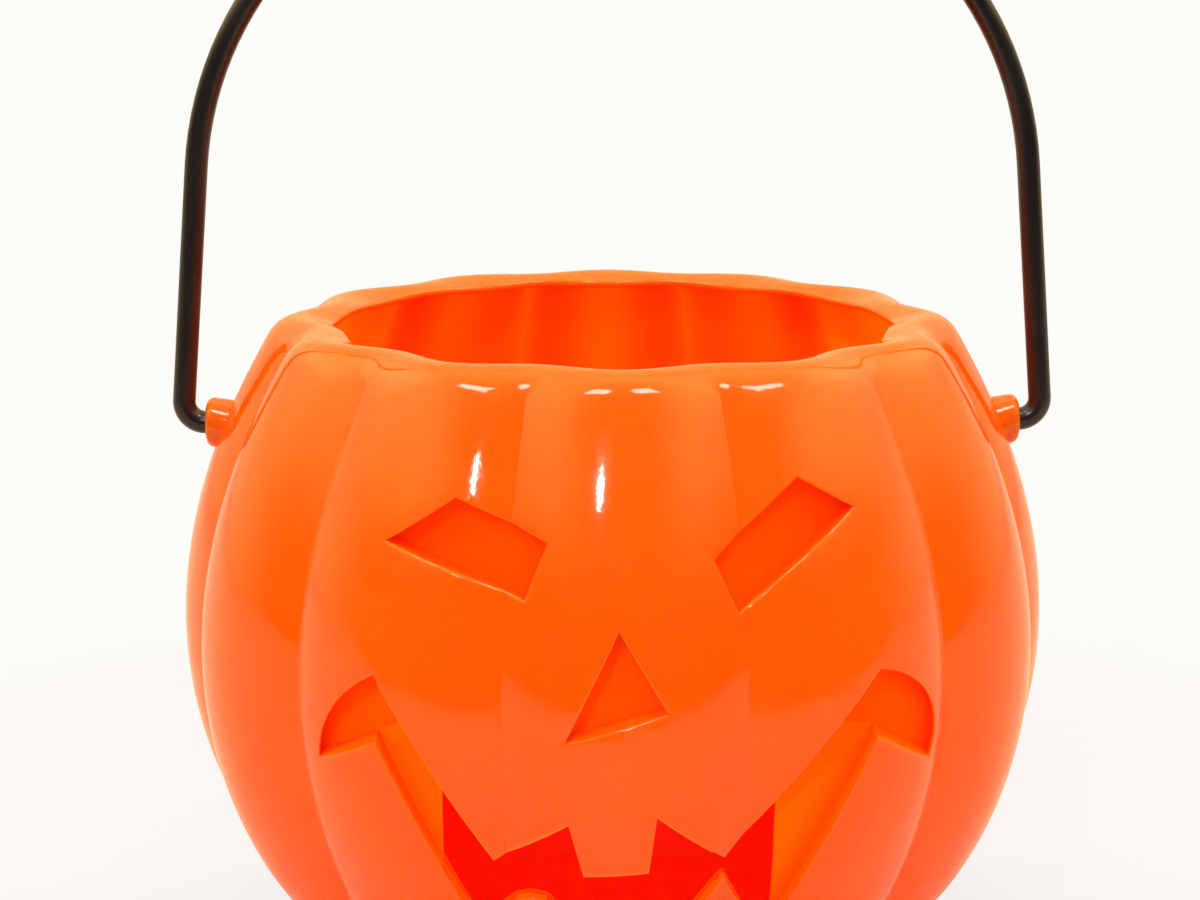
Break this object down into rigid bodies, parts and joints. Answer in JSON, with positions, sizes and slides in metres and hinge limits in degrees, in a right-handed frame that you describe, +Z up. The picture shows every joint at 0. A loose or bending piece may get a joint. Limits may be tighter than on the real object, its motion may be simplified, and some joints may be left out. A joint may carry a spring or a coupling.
{
  "type": "pumpkin candy pail",
  "caption": "Round lobed pumpkin pail with a carved grinning face, a rolled rim and a black bail handle that swings on ears at its sides, for carrying sweets.",
  "frame": {"origin": "centre of the base, on the ground", "axes": "+Z up along the pail's axis, X along the handle's pins, and the carved face looks along -Y"},
  "size_m": [0.203, 0.2, 0.2664],
  "materials": {
    "orange_plastic": "glossy moulded orange, slightly translucent",
    "black_plastic": "satin moulded black"
  },
  "bodies": {
    "pail": {"pail_shell": "orange_plastic"},
    "handle": {"bail_handle": "black_plastic"}
  },
  "joints": [
    {"name": "handle_swing", "type": "hinge", "parent": "pail", "child": "handle", "pos_m": [0, 0, 0.129], "axis": [1, 0, 0], "range_deg": [-135, 135]}
  ]
}
